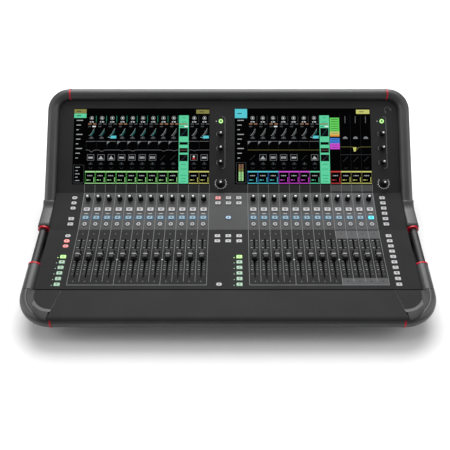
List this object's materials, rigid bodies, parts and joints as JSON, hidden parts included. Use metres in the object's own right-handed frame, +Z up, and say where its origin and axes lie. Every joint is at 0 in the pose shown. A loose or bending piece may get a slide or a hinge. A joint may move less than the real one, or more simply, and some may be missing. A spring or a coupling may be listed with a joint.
{
  "type": "mixing console",
  "caption": "Desktop digital mixing console: two touch screens above a sloped surface of motor faders, keys and encoders, in a bent tube frame with side hand grips.",
  "frame": {"origin": "on the supporting surface, under the middle of the console's box", "axes": "+X to the user's right along the width, +Y to the back, +Z up"},
  "size_m": [0.9186, 0.6286, 0.2698],
  "materials": {
    "case": "fine-textured dark grey powder coat",
    "screen_panel": "fine-textured dark grey powder coat",
    "control_panel": "satin dark grey paint with a light grey print",
    "palm_rest": "satin dark grey paint",
    "frame_tube": "satin mid grey paint",
    "grip": "satin black sleeve",
    "trim": "satin red",
    "display": "dark touch glass, lit",
    "knob": "soft black with a pale tip",
    "fader_cap": "soft black with a white line",
    "key_white": "translucent white, lit",
    "key_blue": "translucent, lit pale blue",
    "key_green": "translucent, lit green",
    "circuit_board": "green solder mask",
    "inner_steel": "zinc-plated sheet",
    "socket": "black die-cast shells",
    "switch": "black rocker",
    "rubber": "black rubber",
    "screw": "black zinc"
  },
  "bodies": {
    "console": {"base_pan": "case", "rear_panel": "case", "screen_panel": "screen_panel", "control_panel": "control_panel", "palm_rest": "palm_rest", "top_bar": "frame_tube", "upper_corners": "frame_tube", "front_bar": "frame_tube", "hand_grips": "grip", "front_corners": "frame_tube", "trim_rings": "trim", "display_left": "display", "display_right": "display", "encoder_knobs": "knob", "circuit_boards": "circuit_board", "fader_units": "inner_steel", "power_supply": "inner_steel", "rear_sockets": "socket", "rubber_feet": "rubber", "panel_screws": "screw"},
    "fader_01": {"fader_01": "fader_cap"},
    "fader_02": {"fader_02": "fader_cap"},
    "fader_03": {"fader_03": "fader_cap"},
    "fader_04": {"fader_04": "fader_cap"},
    "fader_05": {"fader_05": "fader_cap"},
    "fader_06": {"fader_06": "fader_cap"},
    "fader_07": {"fader_07": "fader_cap"},
    "fader_08": {"fader_08": "fader_cap"},
    "fader_09": {"fader_09": "fader_cap"},
    "fader_10": {"fader_10": "fader_cap"},
    "fader_11": {"fader_11": "fader_cap"},
    "fader_12": {"fader_12": "fader_cap"},
    "fader_13": {"fader_13": "fader_cap"},
    "fader_14": {"fader_14": "fader_cap"},
    "fader_15": {"fader_15": "fader_cap"},
    "fader_16": {"fader_16": "fader_cap"},
    "fader_17": {"fader_17": "fader_cap"},
    "fader_18": {"fader_18": "fader_cap"},
    "fader_19": {"fader_19": "fader_cap"},
    "fader_20": {"fader_20": "fader_cap"},
    "fader_21": {"fader_21": "fader_cap"},
    "fader_22": {"fader_22": "fader_cap"},
    "fader_23": {"fader_23": "fader_cap"},
    "fader_24": {"fader_24": "fader_cap"},
    "select_keys": {"select_keys": "key_white"},
    "mix_keys": {"mix_keys": "key_blue"},
    "cue_keys": {"cue_keys": "key_white"},
    "left_keys": {"left_keys": "key_white"},
    "centre_keys": {"centre_keys": "key_white"},
    "right_keys": {"right_keys": "key_white"},
    "screen_keys": {"screen_keys": "key_green"},
    "screen_knob_1": {"screen_knob_1": "knob"},
    "screen_knob_2": {"screen_knob_2": "knob"},
    "screen_knob_3": {"screen_knob_3": "knob"},
    "screen_knob_4": {"screen_knob_4": "knob"},
    "screen_knob_5": {"screen_knob_5": "knob"},
    "screen_knob_6": {"screen_knob_6": "knob"},
    "main_knob_left": {"main_knob_left": "knob"},
    "main_knob_right": {"main_knob_right": "knob"},
    "mains_switch": {"mains_switch": "switch"}
  },
  "joints": [
    {"name": "fader_01_slide", "type": "slide", "parent": "console", "child": "fader_01", "axis": [0, 0.9962, 0.0872], "range_m": [-0.055, 0.045]},
    {"name": "fader_02_slide", "type": "slide", "parent": "console", "child": "fader_02", "axis": [0, 0.9962, 0.0872], "range_m": [-0.055, 0.045]},
    {"name": "fader_03_slide", "type": "slide", "parent": "console", "child": "fader_03", "axis": [0, 0.9962, 0.0872], "range_m": [-0.055, 0.045]},
    {"name": "fader_04_slide", "type": "slide", "parent": "console", "child": "fader_04", "axis": [0, 0.9962, 0.0872], "range_m": [-0.055, 0.045]},
    {"name": "fader_05_slide", "type": "slide", "parent": "console", "child": "fader_05", "axis": [0, 0.9962, 0.0872], "range_m": [-0.055, 0.045]},
    {"name": "fader_06_slide", "type": "slide", "parent": "console", "child": "fader_06", "axis": [0, 0.9962, 0.0872], "range_m": [-0.055, 0.045]},
    {"name": "fader_07_slide", "type": "slide", "parent": "console", "child": "fader_07", "axis": [0, 0.9962, 0.0872], "range_m": [-0.055, 0.045]},
    {"name": "fader_08_slide", "type": "slide", "parent": "console", "child": "fader_08", "axis": [0, 0.9962, 0.0872], "range_m": [-0.055, 0.045]},
    {"name": "fader_09_slide", "type": "slide", "parent": "console", "child": "fader_09", "axis": [0, 0.9962, 0.0872], "range_m": [-0.055, 0.045]},
    {"name": "fader_10_slide", "type": "slide", "parent": "console", "child": "fader_10", "axis": [0, 0.9962, 0.0872], "range_m": [-0.055, 0.045]},
    {"name": "fader_11_slide", "type": "slide", "parent": "console", "child": "fader_11", "axis": [0, 0.9962, 0.0872], "range_m": [-0.055, 0.045]},
    {"name": "fader_12_slide", "type": "slide", "parent": "console", "child": "fader_12", "axis": [0, 0.9962, 0.0872], "range_m": [-0.055, 0.045]},
    {"name": "fader_13_slide", "type": "slide", "parent": "console", "child": "fader_13", "axis": [0, 0.9962, 0.0872], "range_m": [-0.055, 0.045]},
    {"name": "fader_14_slide", "type": "slide", "parent": "console", "child": "fader_14", "axis": [0, 0.9962, 0.0872], "range_m": [-0.055, 0.045]},
    {"name": "fader_15_slide", "type": "slide", "parent": "console", "child": "fader_15", "axis": [0, 0.9962, 0.0872], "range_m": [-0.055, 0.045]},
    {"name": "fader_16_slide", "type": "slide", "parent": "console", "child": "fader_16", "axis": [0, 0.9962, 0.0872], "range_m": [-0.055, 0.045]},
    {"name": "fader_17_slide", "type": "slide", "parent": "console", "child": "fader_17", "axis": [0, 0.9962, 0.0872], "range_m": [-0.055, 0.045]},
    {"name": "fader_18_slide", "type": "slide", "parent": "console", "child": "fader_18", "axis": [0, 0.9962, 0.0872], "range_m": [-0.055, 0.045]},
    {"name": "fader_19_slide", "type": "slide", "parent": "console", "child": "fader_19", "axis": [0, 0.9962, 0.0872], "range_m": [-0.055, 0.045]},
    {"name": "fader_20_slide", "type": "slide", "parent": "console", "child": "fader_20", "axis": [0, 0.9962, 0.0872], "range_m": [-0.055, 0.045]},
    {"name": "fader_21_slide", "type": "slide", "parent": "console", "child": "fader_21", "axis": [0, 0.9962, 0.0872], "range_m": [-0.055, 0.045]},
    {"name": "fader_22_slide", "type": "slide", "parent": "console", "child": "fader_22", "axis": [0, 0.9962, 0.0872], "range_m": [-0.055, 0.045]},
    {"name": "fader_23_slide", "type": "slide", "parent": "console", "child": "fader_23", "axis": [0, 0.9962, 0.0872], "range_m": [-0.055, 0.045]},
    {"name": "fader_24_slide", "type": "slide", "parent": "console", "child": "fader_24", "axis": [0, 0.9962, 0.0872], "range_m": [-0.055, 0.045]},
    {"name": "select_keys_press", "type": "slide", "parent": "console", "child": "select_keys", "axis": [0, 0.225, -0.9744], "range_m": [0, 0.001], "stiffness_N_per_m": 1500},
    {"name": "mix_keys_press", "type": "slide", "parent": "console", "child": "mix_keys", "axis": [0, 0.225, -0.9744], "range_m": [0, 0.001], "stiffness_N_per_m": 1500},
    {"name": "cue_keys_press", "type": "slide", "parent": "console", "child": "cue_keys", "axis": [0, 0.225, -0.9744], "range_m": [0, 0.001], "stiffness_N_per_m": 1500},
    {"name": "left_keys_press", "type": "slide", "parent": "console", "child": "left_keys", "axis": [0, 0.1564, -0.9877], "range_m": [0, 0.001], "stiffness_N_per_m": 1500},
    {"name": "centre_keys_press", "type": "slide", "parent": "console", "child": "centre_keys", "axis": [0, 0.1564, -0.9877], "range_m": [0, 0.001], "stiffness_N_per_m": 1500},
    {"name": "right_keys_press", "type": "slide", "parent": "console", "child": "right_keys", "axis": [0, 0.1564, -0.9877], "range_m": [0, 0.001], "stiffness_N_per_m": 1500},
    {"name": "screen_keys_press", "type": "slide", "parent": "console", "child": "screen_keys", "axis": [0, 0.6018, -0.7986], "range_m": [0, 0.001], "stiffness_N_per_m": 1500},
    {"name": "screen_knob_1_turn", "type": "hinge", "parent": "console", "child": "screen_knob_1", "pos_m": [-0.0195, 0.16203, 0.1991], "axis": [0, -0.6018, 0.7986], "continuous": true},
    {"name": "screen_knob_2_turn", "type": "hinge", "parent": "console", "child": "screen_knob_2", "pos_m": [-0.0195, 0.13264, 0.17695], "axis": [0, -0.6018, 0.7986], "continuous": true},
    {"name": "screen_knob_3_turn", "type": "hinge", "parent": "console", "child": "screen_knob_3", "pos_m": [-0.0195, 0.10325, 0.15481], "axis": [0, -0.6018, 0.7986], "continuous": true},
    {"name": "screen_knob_4_turn", "type": "hinge", "parent": "console", "child": "screen_knob_4", "pos_m": [0.3885, 0.16203, 0.1991], "axis": [0, -0.6018, 0.7986], "continuous": true},
    {"name": "screen_knob_5_turn", "type": "hinge", "parent": "console", "child": "screen_knob_5", "pos_m": [0.3885, 0.13264, 0.17695], "axis": [0, -0.6018, 0.7986], "continuous": true},
    {"name": "screen_knob_6_turn", "type": "hinge", "parent": "console", "child": "screen_knob_6", "pos_m": [0.3885, 0.10325, 0.15481], "axis": [0, -0.6018, 0.7986], "continuous": true},
    {"name": "main_knob_left_turn", "type": "hinge", "parent": "console", "child": "main_knob_left", "pos_m": [-0.0195, 0.061, 0.12297], "axis": [0, -0.6018, 0.7986], "continuous": true},
    {"name": "main_knob_right_turn", "type": "hinge", "parent": "console", "child": "main_knob_right", "pos_m": [0.3885, 0.061, 0.12297], "axis": [0, -0.6018, 0.7986], "continuous": true},
    {"name": "mains_switch_rock", "type": "hinge", "parent": "console", "child": "mains_switch", "pos_m": [0.312, 0.30652, 0.07957], "axis": [-1, 0, 0], "range_deg": [0, 12]}
  ]
}
